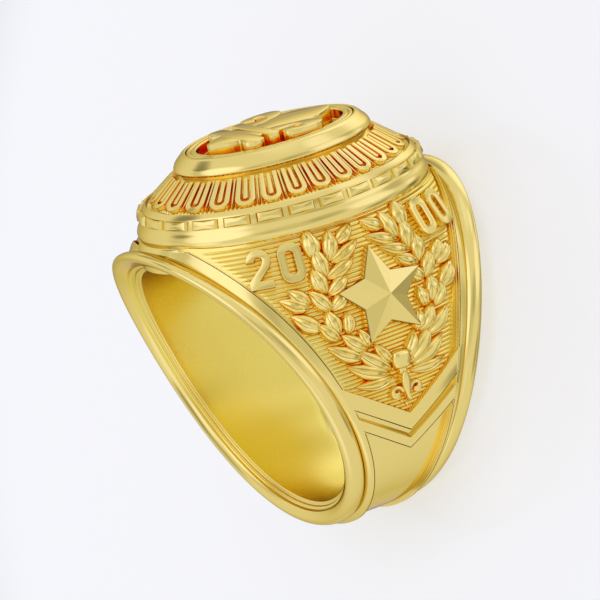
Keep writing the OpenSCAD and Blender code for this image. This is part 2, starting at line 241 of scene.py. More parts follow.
def mirrored(part):
    """The same part on the other shoulder, turned half a turn about the crown's axis."""
    points, faces = part
    return points * np.array([-1, -1, 1]), faces


def laid(points):
    """From the ring drawn upright, in millimetres, to the ring on its side, in metres."""
    c, s = math.cos(LEAN), math.sin(LEAN)
    x, y, z = points[:, 0], points[:, 1], points[:, 2]
    return np.stack([x, y * s + z * c, -y * c + z * s], 1) / 1000


def piece(name, parts, material, sharp=35, node="ring_body"):
    """One object made of closed parts, that stands for a CAD node and rides on the ring.

    An edge sharper than the given number of degrees stays crisp.
    """
    mesh = bpy.data.meshes.new(name)
    points = []
    faces = []
    for p, f in parts:
        k = sum(len(q) for q in points)
        points.append(p)
        faces += [tuple(k + i for i in face_row) for face_row in f]
    mesh.from_pydata(laid(np.concatenate(points)).tolist(), [], faces)
    same_place = 1e-8
    work = bmesh.new()
    work.from_mesh(mesh)
    bmesh.ops.remove_doubles(work, verts=work.verts, dist=same_place)
    bmesh.ops.dissolve_degenerate(work, edges=work.edges, dist=same_place)
    bmesh.ops.recalc_face_normals(work, faces=work.faces)
    work.to_mesh(mesh)
    work.free()
    mesh.shade_smooth()
    mesh.set_sharp_from_angle(angle=math.radians(sharp))
    thing = bpy.data.objects.new(name, mesh)
    bpy.context.scene.collection.objects.link(thing)
    mesh.materials.append(material)
    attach(thing, "root")
    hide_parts(node)
    return thing


# Materials
# Gold as it looks on an open surface, then painted shade: a warm colour painted into a recess for
# the warmth many reflections give it, and a dark colour painted into a slit
OPEN = (0.96, 0.765, 0.24)
WARM_RECESS_SHADE = (0.95, 0.54, 0.05)
DARK_SHADE = (0.22, 0.13, 0.03)
# What gold tends to where it is seen at a low angle
GRAZING = (0.6, 0.51, 0.32, 1)
# A more saturated gold, painted on the finger hole's wall and steps for the colour that many
# reflections give there
PAINTED_BOUNCE_GOLD = (0.96, 0.775, 0.165)


def gold(name, rough, colour=OPEN, deep=WARM_RECESS_SHADE, slit=DARK_SHADE, reach=0.4, grain=0.1, grain_scale=2200):
    """Cast gold: an uneven polish, a fine grain, and painted shade, warm and darker, down in the
    recesses.

    Colours are the open surface's, the painted shade of the recesses and the painted shade of the
    narrowest slits, laid on by ambient occlusion. Reach is how far off a wall still makes a
    recess, in millimetres.
    """
    material = bpy.data.materials.new(name)
    material.use_nodes = True
    nodes = material.node_tree.nodes
    links = material.node_tree.links
    shader = nodes["Principled BSDF"]
    shader.inputs["Metallic"].default_value = 1
    shader.inputs["Specular Tint"].default_value = GRAZING
    # Ambient occlusion paints shade into the base colour: the slit's dark shade, the recess's warm
    # shade, then the open colour
    painted_shade_mask = nodes.new("ShaderNodeAmbientOcclusion")
    painted_shade_mask.samples = 8
    painted_shade_mask.inputs["Distance"].default_value = reach / 1000
    shade_colour_ramp = nodes.new("ShaderNodeValToRGB")
    stops = shade_colour_ramp.color_ramp.elements
    stops[0].position = 0.02
    stops[0].color = (*slit, 1)
    stops[1].position = 0.7
    stops[1].color = (*colour, 1)
    stops.new(0.2).color = (*deep, 1)
    links.new(painted_shade_mask.outputs["AO"], shade_colour_ramp.inputs["Fac"])
    links.new(shade_colour_ramp.outputs["Color"], shader.inputs["Base Color"])
    where = nodes.new("ShaderNodeTexCoord")
    # Soft patches, a few millimetres across, where the polish is finer or duller
    cloud = nodes.new("ShaderNodeTexNoise")
    cloud.inputs["Scale"].default_value = 260
    cloud.inputs["Detail"].default_value = 3
    links.new(where.outputs["Object"], cloud.inputs["Vector"])
    polish = nodes.new("ShaderNodeMapRange")
    polish.inputs["To Min"].default_value = rough * 0.8
    polish.inputs["To Max"].default_value = rough * 1.25
    links.new(cloud.outputs["Fac"], polish.inputs["Value"])
    links.new(polish.outputs["Result"], shader.inputs["Roughness"])
    # The grain of the casting, a hundredth of a millimetre deep
    fine = nodes.new("ShaderNodeTexNoise")
    fine.inputs["Scale"].default_value = grain_scale
    fine.inputs["Detail"].default_value = 4
    links.new(where.outputs["Object"], fine.inputs["Vector"])
    bump = nodes.new("ShaderNodeBump")
    bump.inputs["Strength"].default_value = grain
    bump.inputs["Distance"].default_value = 0.00001
    links.new(fine.outputs["Fac"], bump.inputs["Height"])
    links.new(bump.outputs["Normal"], shader.inputs["Normal"])
    return material


# Each gold but the bore's has shade painted into its recesses and slits
POLISHED = gold("polished_gold", 0.12, deep=(0.92, 0.61, 0.1))
RIMS = gold("rim_gold", 0.12, deep=(0.84, 0.62, 0.14), slit=(0.26, 0.17, 0.04))
# A dark gold painted on the star's narrow bevel, as a shaded outline
OUTLINE_SHADE = gold("outline_shade_gold", 0.3, colour=(0.3, 0.22, 0.07), deep=DARK_SHADE)
CAST = gold("cast_gold", 0.13, colour=(0.96, 0.765, 0.235), deep=(0.96, 0.5, 0.04),
            slit=(0.72, 0.25, 0.03), grain=0.2, grain_scale=3000)
RIBBED = gold("ribbed_gold", 0.15, colour=(0.96, 0.755, 0.19), deep=(0.97, 0.55, 0.05),
              slit=(0.9, 0.27, 0.02), reach=0.5, grain=0.2, grain_scale=3000)
FRIEZE = gold("frieze_gold", 0.13, slit=(0.8, 0.34, 0.03))
PLATE = gold("plate_gold", 0.12, colour=(0.97, 0.775, 0.25), deep=(0.97, 0.48, 0.03),
             slit=(0.9, 0.3, 0.02), reach=0.9, grain_scale=2400)
BORE = gold("bore_gold", 0.26, colour=PAINTED_BOUNCE_GOLD, deep=PAINTED_BOUNCE_GOLD, slit=PAINTED_BOUNCE_GOLD, grain=0.01,
            grain_scale=1200)


# Band
# The rim's section. Columns: outward from the finger hole, and across from the crest, positive
# away from the middle of the ring, with each corner's own rounding.
RIM = [(0, -1.1, 0), (0, -0.55, 0.03), (0.1, -0.49, 0.03), (0.27, -0.46, 0.1),
       (0.3, -0.27, 0.03), (0.51, -0.23, 0.12), (0.57, 0.03, 0.03), (0.74, 0.18, 0.12),
       (1.15, 0.4, 0.25), (1.5, 0.3, 0.2), (1.66, -0.02, 0.16), (1.7, -0.4, 0.16),
       (1.63, -0.72, 0.1), (1.45, -0.92, 0.06), (1.2, -0.98, 0)]


def band():
    """The finger hole's wall with a moulded rim at each edge, all the way round."""
    line = rounded(RIM, steps=4)
    # Between the rims the band runs on under the shoulders, out of sight
    inside = BORE_R + 0.8
    inside_in = 1.2
    steps = 256
    t = np.linspace(0, 2 * math.pi, steps, endpoint=False)[:, None]

    def edge(s):
        r = BORE_R + line[:, 0]
        z = r * np.cos(t)
        return np.stack([r * np.sin(t), s * (half_w(z) + line[:, 1]), z], -1)

    def inner(share):
        w = (half_w(inside * np.cos(t)) - inside_in) * share
        return np.stack([inside * np.sin(t), w, inside * np.cos(t)], -1)

    return skin(np.concatenate([edge(1), inner(1), inner(-1), edge(-1)[:, ::-1]], 1), closed=True)


# Shoulders and the outside of the shank
def fall_profile():
    """How deep the middle lies along V-shaped rows, down from the panel's tip.

    Columns: the drop of the row's middle under the axis, its depth, and its corner's rounding.
    """
    tip = -PANEL_TIP_Z
    upper = tip + CHEVRON_DROP
    lower = upper + CHEVRON_W
    start = tip + BAND_DROP
    under_ribs = PANEL_SINK + ROOT
    slit = 0.3
    return rounded([(tip - 0.02, under_ribs, 0), (tip, under_ribs, 0), (tip + 0.02, 0, 0.04),
                    # The chevron: a slit along its upper edge, and a slope down to its lower
                    (upper, 0, 0.03), (upper + 0.02, 0.28, 0), (upper + 0.06, 0.28, 0),
                    (upper + 0.08, 0.05, 0), (lower - 0.03, CHEVRON_SINK, 0.04),
                    (lower, 0, 0.04),
                    # A slit just over the sunk band, and the step down to it
                    (start - 0.13, 0, 0), (start - 0.125, slit, 0), (start - 0.07, slit, 0),
                    (start - 0.065, 0, 0), (start, 0, 0.02),
                    (start + 0.04, BAND_SINK, 0.03), (start + 0.5, BAND_SINK, 0)], steps=3)


# The panel's edge in steps, with a slit beside it. Columns: how far out from the wall's foot,
# and the share of the row's depth there.
WALL = [(0.0, 1.0), (0.01, 0.72), (0.05, 0.68), (0.06, 0.4), (0.1, 0.36), (0.11, 0.04),
        (0.13, 0.0), (0.17, 0.0), (0.175, 0.5), (0.225, 0.5), (0.23, 0.0), (EDGE_WALL, 0.0)]
# Places across a row inside the walls, as shares of its half width
ACROSS = np.concatenate([[-1, -0.985], np.linspace(-0.94, 0.94, 25), [0.985, 1]])


def shoulder_half():
    """One shoulder and half the shank's back, as a closed shell over the band."""
    rise = (PANEL_LOW_Z - PANEL_TIP_Z) / float(edge_y(PANEL_LOW_Z))
    falls = fall_profile()
    # Level rows from under the crown down to the panel's sides, then V-shaped rows, and then
    # rows on round the back, where the band grows shallower
    first = 0.993 * CROWN_Z
    level_end = 2.0
    level_rows = 60
    back_rows = 26
    shallower = 0.75
    last = -falls[-1][0]
    grid = []
    for z0 in np.linspace(first, level_end, level_rows):
        grid.append(shoulder_row(z0, PANEL_SINK + ROOT, 0.0, 0.0))
    for drop, depth in falls:
        grid.append(shoulder_row(-drop, depth, rise, 0.0))
    for k in range(back_rows):
        turn = (k + 1) / back_rows
        grid.append(shoulder_row(last, BAND_SINK * (1 - shallower * turn**2), rise, turn))
    return grid


def row_height(z0, y, rise, turn):
    """Height of a row at a place across, turned on towards the lowest line of the shank."""
    z = z0 + rise * abs(y)
    if turn == 0:
        return z
    angle = math.asin(min(max(-z / SHANK_R, -1), 1))
    angle += (math.pi / 2 - angle) * turn
    return -SHANK_R * math.sin(angle)


def shoulder_row(z0, depth, rise, turn):
    """One row of the shell: the groove, the flank, the edge's wall, the middle, and back."""
    half = []
    # The edge's height is solved for, since a V-shaped row meets the edge higher up
    rounds = 6
    y_edge = float(edge_y(z0))
    for _ in range(rounds):
        z_edge = row_height(z0, y_edge, rise, turn)
        y_edge = float(edge_y(z_edge))
    flank = flank_points(z_edge)
    for step, share in reversed(WALL):
        y = y_edge + step - EDGE_WALL
        half.append(face(row_height(z0, y, rise, turn), y, depth * share))
    wall_gap = 0.02
    inside = y_edge - EDGE_WALL - wall_gap
    middle = [face(row_height(z0, q * inside, rise, turn), q * inside, depth) for q in ACROSS]
    plus = [np.array(p) for p in flank] + half
    minus = [p * np.array([1, -1, 1]) for p in plus]
    return minus + middle + plus[::-1]


def flank_points(z):
    """The polished flank from the rim's groove in to the panel's edge, at a height."""
    y_edge = float(edge_y(z))
    if z > 0:
        x = math.sqrt(max(GROOVE_R**2 - z * z, 0.01))
        groove = np.array([x, float(half_w(z)) - GROOVE_IN, z])
    else:
        z_groove = z * GROOVE_R / SHANK_R
        x = math.sqrt(max(GROOVE_R**2 - z_groove**2, 0.0))
        groove = np.array([x, float(half_w(z_groove)) - GROOVE_IN, z_groove])
    # Under the crown the flank rounds in to the crown's foot
    lip = CROWN_Z - 0.95
    lip_h = 0.96
    lip_reach = 0.6
    if z > lip:
        reach = CROWN_END + lip_reach * math.sqrt(max(1 - ((z - lip) / lip_h) ** 2, 0))
        groove[1] = min(groove[1], reach)
    # It turns down to the groove close beside it, and never sinks under a line three quarters
    # of the way there
    turn_in = 0.12
    turn_share = 0.75
    edge = face(z, y_edge, 0.0)
    turn = face(z, groove[1] - turn_in, 0.0)
    line = edge + (groove - edge) * turn_share
    if turn[0] < line[0]:
        turn = line
    points = []
    steps = 9
    for k in range(steps):
        t = k / steps
        points.append((1 - t) ** 2 * groove + 2 * t * (1 - t) * turn + t * t * edge)
    # A last point under the rim, out of sight
    hidden = groove * np.array([0.96, 1, 0.96]) - np.array([0, 0.1, 0])
    return [hidden] + points


def shoulders():
    """Both shoulders and the back of the shank, as one shell down to the band."""
    half = np.array(shoulder_half())
    other = half[:-1][::-1] * np.array([-1, 1, 1])
    top = np.concatenate([half, other])
    scale = SHOULDER_BASE / np.linalg.norm(top[..., [0, 2]], axis=-1)
    bottom = top * np.stack([scale, np.full_like(scale, 0.985), scale], -1)
    return slab(top, bottom)


def panel_ground():
    """The panel's ribbed ground: level round bars that stop short of the panel's edge."""
    pitch = 0.28
    rib_h = 0.11
    half_rib = 0.46
    per_rib = 10
    side_gap = 0.5
    side_slope = 0.12
    top_slope = 0.05
    # The ground runs on a little under the panel's wall, and is this thick
    tuck = 0.1
    thick = 0.5
    high = CROWN_Z + 0.2
    low = PANEL_TIP_Z - 0.3
    z = np.linspace(low, high, int((high - low) / pitch * per_rib))[:, None]
    share = np.concatenate([[-1], np.linspace(-0.985, -0.9, 6), np.linspace(-0.8, 0.8, 19),
                            np.linspace(0.9, 0.985, 6), [1]])[None, :]
    y = share * (edge_y(z) + tuck)
    phase = (z / pitch) % 1 - 0.5
    bar = np.sqrt(np.maximum(1 - (phase / half_rib) ** 2, 0))
    stop = np.clip((edge_y(z) - side_gap - np.abs(y)) / side_slope, 0, 1)
    stop *= np.clip((RIB_TOP - z) / top_slope, 0, 1)
    height = rib_h * bar * np.sqrt(stop)
    top = face(z, y, PANEL_SINK - height)
    bottom = face(z, y, PANEL_SINK + thick)
    return slab(top, bottom)


# Relief on the panels
# The wreath's leaves, on one side. Columns: the tip across and up, the root across and up,
# and the width, as shares of the wreath's height, up from its foot.
LEAVES = [
    (0.321, 1.000, 0.339, 0.855, 0.080), (0.313, 0.895, 0.304, 0.740, 0.076),
    (0.192, 0.971, 0.250, 0.824, 0.071), (0.045, 0.971, 0.170, 0.900, 0.058),
    (0.049, 0.877, 0.228, 0.806, 0.058), (0.112, 0.792, 0.295, 0.725, 0.058),
    (0.188, 0.712, 0.321, 0.632, 0.063), (0.371, 0.788, 0.344, 0.650, 0.076),
    (0.433, 0.667, 0.344, 0.547, 0.071), (0.228, 0.618, 0.335, 0.542, 0.063),
    (0.549, 0.703, 0.460, 0.614, 0.071), (0.612, 0.663, 0.482, 0.587, 0.063),
    (0.576, 0.556, 0.446, 0.453, 0.076), (0.375, 0.533, 0.344, 0.400, 0.076),
    (0.263, 0.498, 0.286, 0.382, 0.063), (0.446, 0.471, 0.357, 0.364, 0.063),
    (0.424, 0.324, 0.250, 0.217, 0.067), (0.321, 0.368, 0.205, 0.257, 0.071),
    (0.214, 0.373, 0.170, 0.266, 0.058), (0.254, 0.248, 0.085, 0.101, 0.071),
    (0.138, 0.257, 0.058, 0.132, 0.058), (0.330, 0.177, 0.107, 0.074, 0.067),
    (0.304, 0.047, 0.080, 0.038, 0.054)]


def leaf(row, s, turn):
    """One plump leaf with a middle rib and a groove at each side of it."""
    tip_across, tip_up, root_across, root_up, width = row
    foot = CROWN_Z - WREATH
    tip = np.array([s * tip_across, tip_up]) * WREATH
    root = np.array([s * root_across, root_up]) * WREATH
    along = tip - root
    side = np.array([along[1], -along[0]]) / np.linalg.norm(along)
    # Places along the leaf, u, and across it, c, closer together at its edges
    steps = 19
    u = np.linspace(0, 1, steps)
    c = np.sin(np.linspace(-1, 1, steps) * math.pi / 2)
    # The outline: how full it is, how far it bows, and how far it runs past its tip and root
    fullness = 0.78
    bow_share = 0.05
    past = 0.12
    half = width * WREATH * fullness
    wide = half * np.maximum(np.sin(math.pi * u**0.9) ** 0.75, 0.02)
    bow = bow_share * turn * np.linalg.norm(along) * np.sin(math.pi * u)
    reach = u * (1 + 2 * past) - past
    middle = root[:, None] + along[:, None] * reach[None, :] + side[:, None] * bow
    y = middle[0][:, None] + side[0] * wide[:, None] * c
    z = middle[1][:, None] + side[1] * wide[:, None] * c
    # The section: a plump arch with a groove at each side of its middle rib
    groove_at = 0.36
    groove_w = 0.12
    groove_depth = 0.15
    grooves = np.exp(-(((np.abs(c) - groove_at) / groove_w) ** 2))
    arch = np.maximum(1 - np.abs(c) ** 3.2, 0) ** 0.55 * (1 - groove_depth * grooves)
    crest = 1.15 * LEAF_H * (0.55 + 0.45 * np.sin(math.pi * (0.1 + 0.8 * u)))
    fade = np.sin(math.pi * (0.04 + 0.92 * u))[:, None] ** 0.5
    height = crest[:, None] * arch[None, :] * fade
    top = on_face(y, foot + z, height - PANEL_SINK)
    # The underside needs only its two edges and its middle
    few = (steps - 1) // 2
    bottom = on_face(y[:, ::few], foot + z[:, ::few], np.full((steps, 3), -PANEL_SINK - ROOT))
    return skin(np.concatenate([top, bottom[:, ::-1]], 1))


def leaves():
    """All the wreath's leaves, on both its sides."""
    parts = []
    for s in (-1, 1):
        for row in LEAVES:
            turn = s if row[0] > row[2] else -s
            parts.append(leaf(row, s, turn))
    return parts


def star():
    """A five-pointed star with crisp facets, on walls that stand in the ground.

    Its faces come in this order: a wall at each corner, the bevel's two rings, and the facets.
    """
    p, across, up, out = face_frame(STAR_Z, 0.0)
    n = STAR_CORNERS
    angles = np.radians(90 + 360 / n * np.arange(n))
    radii = np.where(np.arange(n) % 2 == 0, STAR_R, STAR_NOTCH_R)
    flat = np.stack([np.cos(angles), np.sin(angles)], 1)

    def ring(extra, height):
        q = flat * (radii + extra)[:, None]
        return p + q[:, :1] * across + q[:, 1:] * up + height * out

    rim = 0.05
    rings = [ring(0, -PANEL_SINK - ROOT), ring(0, -2 * rim), ring(0, -rim), ring(-rim, 0.0)]
    points = np.concatenate(rings + [[p + STAR_H * out]])
    faces = []
    for k in range(len(rings) - 1):
        low = k * n
        high = low + n
        for i in range(n):
            j = (i + 1) % n
            faces.append((low + i, low + j, high + j, high + i))
    last = (len(rings) - 1) * n
    peak = last + n
    faces += [(last + i, last + (i + 1) % n, peak) for i in range(n)]
    faces.append(tuple(range(n - 1, -1, -1)))
    return points, faces


def stroke_mesh(outlines, depth, bevel):
    """A flat shape with holes, raised and bevelled, from closed outlines in X and Y."""
    curve = bpy.data.curves.new("outline", "CURVE")
    curve.dimensions = "2D"
    curve.fill_mode = "BOTH"
    curve.extrude = depth / 2 - bevel
    curve.bevel_depth = bevel
    curve.bevel_resolution = 2
    curve.offset = -bevel
    for line in outlines:
        spline = curve.splines.new("POLY")
        spline.points.add(len(line) - 1)
        for q, xy in zip(spline.points, line):
            q.co = (xy[0], xy[1], 0, 1)
        spline.use_cyclic_u = True
    thing = bpy.data.objects.new("outline", curve)
    bpy.context.scene.collection.objects.link(thing)
    bpy.context.view_layer.update()
    mesh = thing.evaluated_get(bpy.context.evaluated_depsgraph_get()).to_mesh()
    points = np.array([v.co[:] for v in mesh.vertices])
    faces = [tuple(f.vertices) for f in mesh.polygons]
    bpy.data.objects.remove(thing)
    return points, faces


def wreath_foot():
    """The knot at the wreath's foot, its pointed tail, a scroll at each side, and pearls."""
    foot = CROWN_Z - WREATH
    scroll = smooth([(0.1, -0.1), (0.4, 0.2), (0.85, 0.3), (1.2, 0.05), (1.2, -0.4),
                     (0.85, -0.62), (0.55, -0.42), (0.6, -0.15), (0.85, -0.15), (0.9, 0.02),
                     (0.6, 0.02), (0.3, -0.3)], 4)
    knot = smooth([(-0.56, 0.6), (0, 0.68), (0.6, 0.54), (0.74, 0), (0.5, -0.56), (0, -0.64),
                   (-0.54, -0.52), (-0.72, 0)], 4)
    tail = smooth([(0, 1.0), (0.26, 0.7), (0.34, 0.2), (0.2, -0.5), (0, -1.15), (-0.2, -0.5),
                   (-0.34, 0.2), (-0.26, 0.7)], 4)
    neck = box_line(-0.3, -0.3, 0.3, 0.5, 0.1)
    # Columns: how far up from the wreath's foot, the outline, its height and its bevel
    shapes = [(1.45, knot, 0.76, 0.38), (-0.35, tail, 0.66, 0.2), (-0.55, scroll, 0.46, 0.12),
              (-0.55, [(-x, y) for x, y in scroll[::-1]], 0.46, 0.12), (0.75, neck, 0.5, 0.14)]
    root = 0.3
    parts = []
    for up, line, high, bevel in shapes:
        points, faces = stroke_mesh([line], high + root, bevel)
        p, across, upward, out = face_frame(foot + up, 0.0)
        q = points[:, 2:] - points[:, 2].max() + high - PANEL_SINK
        parts.append((p + points[:, :1] * across + points[:, 1:2] * upward + q * out, faces))
    # Columns: across, up, and the pearl's radius
    for y, up, r in ((-0.36, -1.5, 0.15), (0.36, -1.5, 0.15), (0, -1.78, 0.17)):
        parts.append(pearl(foot + up, y, r))
    return parts


def pearl(z, y, r):
    """A small bead on the panel's ground."""
    p, across, up, out = face_frame(z, y)
    sides = 16
    heights = 9
    a = np.linspace(0, 2 * math.pi, sides, endpoint=False)[None, :, None]
    h = np.linspace(-0.49, 0.49, heights)[:, None, None] * math.pi
    ball = np.cos(h) * (np.cos(a) * across + np.sin(a) * up) + np.sin(h) * out
    # Its middle stands over the ground, so less than half of it is sunk
    rise = 0.6
    return skin(p + out * (rise * r - PANEL_SINK) + r * ball)


def box_line(x0, y0, x1, y1, r, steps=6):
    """A rectangle with round corners."""
    line = []
    for cx, cy, a in ((x1 - r, y1 - r, 0), (x0 + r, y1 - r, 90), (x0 + r, y0 + r, 180),
                      (x1 - r, y0 + r, 270)):
        for k in range(steps + 1):
            t = math.radians(a + 90 * k / steps)
            line.append((cx + r * math.cos(t), cy + r * math.sin(t)))
    return line


def zero():
    """The numeral zero, 0.6 wide and 1 high, with its hole."""
    return [box_line(0, 0, 0.6, 1, 0.26), box_line(0.2, 0.2, 0.4, 0.8, 0.1)]


def two():
    """The numeral two, 0.6 wide and 1 high, drawn as an outline with round bends."""
    def bend(r, first, last):
        return [(0.3 + r * math.cos(math.radians(a)), 0.7 + r * math.sin(math.radians(a)))
                for a in np.linspace(first, last, 15)]

    return [[(0, 0), (0, 0.2), (0.34, 0.56)] + bend(0.1, -30, 180) + [(0, 0.7)]
            + bend(0.3, 180, -35)[1:] + [(0.27, 0.2), (0.6, 0.2), (0.6, 0)]]


def numeral(outlines, y, z):
    """One raised numeral, its middle at a place on the panel."""
    k = NUMERAL
    lines = [[((x - 0.3) * k, (v - 0.5) * k) for x, v in line] for line in outlines]
    depth = 0.8
    relief = 0.62
    points, faces = stroke_mesh(lines, depth, 0.05)
    p, across, up, out = face_frame(z, y)
    q = points[:, 2:] + relief - PANEL_SINK - depth / 2
    return p + points[:, :1] * across + points[:, 1:2] * up + q * out, faces


def numerals():
    """Two numerals at each upper corner of the panel."""
    z = CROWN_Z - 1.62
    places = ((two(), -7.25), (zero(), -5.3), (zero(), 5.4), (zero(), 7.3))
    return [numeral(outlines, y, z) for outlines, y in places]


# Crown
def oval_at(t, inset):
    """Points on the crown's oval, some distance in from its foot, and the normals there."""
    a = CROWN_END - CROWN_LESS / 2 - inset
    b = CROWN_END - inset
    p = np.stack([a * np.cos(t), b * np.sin(t)], -1)
    n = np.stack([b * np.cos(t), a * np.sin(t)], -1)
    return p, n / np.linalg.norm(n, axis=-1, keepdims=True)


# The distance in at which lengths round the oval are measured, unless another is given
MIDDLE_IN = 0.54 * CROWN_IN


def arc_table(inset):
    """Angles round the oval, and how far round it each of them lies."""
    t = np.linspace(0, 2 * math.pi, 1441)
    p, _ = oval_at(t, inset)
    return t, np.concatenate([[0], np.cumsum(np.linalg.norm(np.diff(p, axis=0), axis=1))])


def oval_length(inset=MIDDLE_IN):
    """The length round the oval."""
    return arc_table(inset)[1][-1]


def arc_angles(shares, inset=MIDDLE_IN):
    """Angles round the oval reached at shares of its length."""
    t, s = arc_table(inset)
    turn = np.floor(shares)
    return np.interp((shares - turn) * s[-1], s, t) + turn * 2 * math.pi


def oval_sweep(profile, steps=288):
    """A closed solid swept round the crown's oval. Columns: height, and distance in."""
    t = arc_angles(np.arange(steps) / steps)
    rings = []
    for z, inset in profile:
        p, _ = oval_at(t, inset)
        rings.append(np.concatenate([p, np.full((steps, 1), z)], 1))
    return skin(rings)


def crown_wall():
    """Girdle, round moulding, the slope of the frieze and the polished lip, with its seat."""
    # Columns: height over the finger's axis, reach along the crown, and the corner's rounding
    rows = [(10.6, 9.6, 0), (10.6, 10.0, 0), (10.78, 10.0, 0.03), (10.8, 10.14, 0.03),
            (10.94, 10.16, 0.03), (10.96, 10.3, 0.03), (11.1, 10.32, 0.03), (11.12, 10.46, 0.03),
            (11.22, 10.48, 0.03), (11.25, 10.57, 0.04), (11.6, 10.64, 0.3), (11.95, 10.5, 0.3),
            (12.3, 10.24, 0.15), (12.75, 10.14, 0.2), (13.1, 10.02, 0.12), (13.46, 9.68, 0.05),
            (13.16, 9.6, 0.05), (13.1, 9.3, 0.05), (13.2, 9.2, 0.03), (14.97, 6.92, 0.05),
            (15.06, 7.0, 0.04), (15.24, 7.22, 0.06), (15.4, 7.33, 0.12), (15.72, 7.2, 0.2),
            (16.3, 6.62, 0.12), (16.38, 6.45, 0.06), (16.36, 6.3, 0.03), (15.0, 6.28, 0)]
    return oval_sweep(rounded([(z, CROWN_END - y, r) for z, y, r in rows], steps=4))


def round_block(mid, outline, low, high, out, bevel):
    """A bevelled block that stands out from the crown, at a share of the way round.

    Low and high are its foot and top, each a height and a distance in. Its outline's columns:
    along the oval, and share of the way up.
    """
    (z0, i0), (z1, i1) = low, high
    root = 0.25
    slope = math.hypot(z1 - z0, i1 - i0)
    nz = (i1 - i0) / slope
    nr = (z1 - z0) / slope
    outline = np.asarray(outline, float)
    centre = outline.mean(0)
    length = oval_length()
    rings = []
    # Columns: how much of the bevel's width the outline has drawn in, and how far out it lies
    for shrink, d in ((0, -root), (0, out - bevel), (0.4, out - 0.25 * bevel), (1, out)):
        away = outline - centre
        real = away * np.array([1, slope])
        size = np.linalg.norm(real, axis=1, keepdims=True)
        q = centre + away * (1 - shrink * bevel * 1.2 / size)
        t = arc_angles(mid + q[:, 0] / length)
        p, _ = oval_at(t, i0 + (i1 - i0) * q[:, 1])
        _, n = oval_at(t, 0)
        xy = p + n * (nr * d)
        z = z0 + (z1 - z0) * q[:, 1] + nz * d
        rings.append(np.concatenate([xy, z[:, None]], 1))
    return skin(rings)


def collar():
    """The round moulding between the crown's foot and the rims, at the ring's two ends."""
    # How much narrower than long it is, so that the shoulders hide its sides
    narrow = 0.67
    # Columns: height over the finger's axis, reach along the crown, and the corner's rounding
    rows = [(9.6, 11.0, 0), (10.3, 11.2, 0.3), (10.95, 11.12, 0.3), (11.36, 10.9, 0.12),
            (11.46, 10.3, 0)]
    steps = 192
    t = np.linspace(0, 2 * math.pi, steps, endpoint=False)
    rings = []
    for z, y in rounded(rows, steps=5):
        rings.append(np.stack([narrow * y * np.cos(t), y * np.sin(t), np.full_like(t, z)], 1))
    return skin(rings)


def crown_bricks():
    """Long bevelled bricks round the moulding, with a gap between each two."""
    half = 0.41 * oval_length() / BRICK_N
    low = (12.45, CROWN_END - 10.2)
    high = (13.08, CROWN_END - 10.03)
    stand_out = 0.31
    bevel = 0.2
    block = [(-half, 0), (0, 0), (half, 0), (half, 0.5), (half, 1), (0, 1), (-half, 1),
             (-half, 0.5)]
    return [round_block((k + 0.5) / BRICK_N, block, low, high, stand_out, bevel)
            for k in range(BRICK_N)]


# The frieze's slope: its foot and its top, as heights and distances in from the crown's foot
SLOPE = ((13.2, CROWN_END - 9.2), (14.97, CROWN_END - 6.92))
SLOPE_LONG = math.hypot(SLOPE[1][0] - SLOPE[0][0], SLOPE[1][1] - SLOPE[0][1])


def on_slope(share, along, up, out):
    """Points over the frieze's slope: a share of the way round, then millimetres."""
    (z0, i0), (z1, i1) = SLOPE
    middle = (i0 + i1) / 2
    t = arc_angles(share + along / oval_length(middle), middle)
    q = up / SLOPE_LONG
    p, _ = oval_at(t, i0 + (i1 - i0) * q)
    _, n = oval_at(t, middle)
    reach = (z1 - z0) / SLOPE_LONG * out
    xy = p + n * reach[..., None]
    z = z0 + (z1 - z0) * q + (i1 - i0) / SLOPE_LONG * out
    return np.concatenate([xy, z[..., None]], -1)


def flutes():
    """Fine upright reeds over the frieze's slope, whose ends make a row of teeth at its foot."""
    reeds = TONGUE_N * REEDS_PER_TONGUE
    per_reed = 8
    half_reed = 0.42
    reed_h = 0.08
    clear = 0.01
    sunk = 0.1
    phase = np.arange(reeds * per_reed) / per_reed
    bar = np.sqrt(np.maximum(1 - ((phase % 1 - 0.5) / half_reed) ** 2, 0))
    # Columns: how far up the slope, and the reeds' height there as a share
    rows = ((0.02, 0.0), (0.05, 0.8), (0.12, 1.25), (0.2, 1.25), (0.26, 0.8),
            (0.4 * SLOPE_LONG, 0.75), (0.6 * SLOPE_LONG, 0.0), (SLOPE_LONG, 0.0))

    def ring(up, out):
        return on_slope(phase / reeds, 0 * phase, np.full_like(phase, up), out)

    under = np.full_like(phase, -sunk)
    rings = [ring(rows[0][0], under)]
    rings += [ring(up, clear + reed_h * lift * bar) for up, lift in rows]
    rings.append(ring(rows[-1][0], under))
    return skin(rings)


def arch_line(w, top, low, steps=10):
    """A tongue's outline: straight sides and a round foot."""
    turn = [math.pi + math.pi * k / steps for k in range(steps + 1)]
    foot = [(w * math.cos(a), low + w * (1 + math.sin(a))) for a in turn]
    return [(-w, top)] + foot + [(w, top)]


